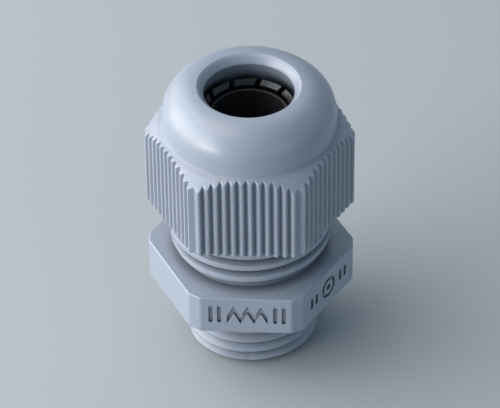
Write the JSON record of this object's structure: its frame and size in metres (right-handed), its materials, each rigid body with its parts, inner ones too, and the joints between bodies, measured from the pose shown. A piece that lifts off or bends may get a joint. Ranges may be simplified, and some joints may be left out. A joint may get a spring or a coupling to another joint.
{
  "type": "cable gland",
  "caption": "Straight plastic cable gland with a metric thread, a hexagonal body and a domed, ribbed cap nut that closes clamping fingers and a rubber sleeve on a cable.",
  "frame": {"origin": "centre of the connection thread's end face", "axes": "+Z along the cable path from the connection thread to the cap nut, +Y normal to a pair of flats"},
  "size_m": [0.0244, 0.022, 0.0364],
  "materials": {
    "grey_polyamide": "moulded, satin",
    "black_polyamide": "moulded, satin",
    "black_rubber": "moulded, matt"
  },
  "bodies": {
    "gland_body": {"gland_body": "grey_polyamide", "cage_ring": "black_polyamide"},
    "sealing_sleeve": {"sealing_sleeve": "black_rubber"},
    "cap_nut": {"cap_nut": "grey_polyamide"},
    "finger_01": {"finger_01": "black_polyamide"},
    "finger_02": {"finger_02": "black_polyamide"},
    "finger_03": {"finger_03": "black_polyamide"},
    "finger_04": {"finger_04": "black_polyamide"},
    "finger_05": {"finger_05": "black_polyamide"},
    "finger_06": {"finger_06": "black_polyamide"},
    "finger_07": {"finger_07": "black_polyamide"},
    "finger_08": {"finger_08": "black_polyamide"},
    "finger_09": {"finger_09": "black_polyamide"},
    "finger_10": {"finger_10": "black_polyamide"}
  },
  "joints": [
    {"name": "nut_travel", "type": "slide", "parent": "gland_body", "child": "sealing_sleeve", "axis": [0, 0, -1], "range_m": [0, 0.00255], "deforming": ["sealing_sleeve"]},
    {"name": "nut_turn", "type": "hinge", "parent": "sealing_sleeve", "child": "cap_nut", "pos_m": [0, 0, 0.028], "axis": [0, 0, -1], "range_deg": [0, 540]},
    {"name": "finger_01_bend", "type": "hinge", "parent": "gland_body", "child": "finger_01", "pos_m": [0.00623, 0.00233, 0.026], "axis": [0.3502, -0.9367, 0], "range_deg": [0, 7]},
    {"name": "finger_02_bend", "type": "hinge", "parent": "gland_body", "child": "finger_02", "pos_m": [0.00367, 0.00555, 0.026], "axis": [0.8339, -0.5519, 0], "range_deg": [0, 7]},
    {"name": "finger_03_bend", "type": "hinge", "parent": "gland_body", "child": "finger_03", "pos_m": [-0.00029, 0.00664, 0.026], "axis": [0.999, 0.0436, 0], "range_deg": [0, 7]},
    {"name": "finger_04_bend", "type": "hinge", "parent": "gland_body", "child": "finger_04", "pos_m": [-0.00414, 0.0052, 0.026], "axis": [0.7826, 0.6225, 0], "range_deg": [0, 7]},
    {"name": "finger_05_bend", "type": "hinge", "parent": "gland_body", "child": "finger_05", "pos_m": [-0.00641, 0.00178, 0.026], "axis": [0.2672, 0.9636, 0], "range_deg": [0, 7]},
    {"name": "finger_06_bend", "type": "hinge", "parent": "gland_body", "child": "finger_06", "pos_m": [-0.00623, -0.00233, 0.026], "axis": [-0.3502, 0.9367, 0], "range_deg": [0, 7]},
    {"name": "finger_07_bend", "type": "hinge", "parent": "gland_body", "child": "finger_07", "pos_m": [-0.00367, -0.00555, 0.026], "axis": [-0.8339, 0.5519, 0], "range_deg": [0, 7]},
    {"name": "finger_08_bend", "type": "hinge", "parent": "gland_body", "child": "finger_08", "pos_m": [0.00029, -0.00664, 0.026], "axis": [-0.999, -0.0436, 0], "range_deg": [0, 7]},
    {"name": "finger_09_bend", "type": "hinge", "parent": "gland_body", "child": "finger_09", "pos_m": [0.00414, -0.0052, 0.026], "axis": [-0.7826, -0.6225, 0], "range_deg": [0, 7]},
    {"name": "finger_10_bend", "type": "hinge", "parent": "gland_body", "child": "finger_10", "pos_m": [0.00641, -0.00178, 0.026], "axis": [-0.2672, -0.9636, 0], "range_deg": [0, 7]}
  ],
  "couplings": [
    {"joint": "nut_turn", "follows": "nut_travel", "rad_per_m": 3695.9},
    {"joint": "finger_01_bend", "follows": "nut_travel", "rad_per_m": 47.9},
    {"joint": "finger_02_bend", "follows": "nut_travel", "rad_per_m": 47.9},
    {"joint": "finger_03_bend", "follows": "nut_travel", "rad_per_m": 47.9},
    {"joint": "finger_04_bend", "follows": "nut_travel", "rad_per_m": 47.9},
    {"joint": "finger_05_bend", "follows": "nut_travel", "rad_per_m": 47.9},
    {"joint": "finger_06_bend", "follows": "nut_travel", "rad_per_m": 47.9},
    {"joint": "finger_07_bend", "follows": "nut_travel", "rad_per_m": 47.9},
    {"joint": "finger_08_bend", "follows": "nut_travel", "rad_per_m": 47.9},
    {"joint": "finger_09_bend", "follows": "nut_travel", "rad_per_m": 47.9},
    {"joint": "finger_10_bend", "follows": "nut_travel", "rad_per_m": 47.9}
  ]
}
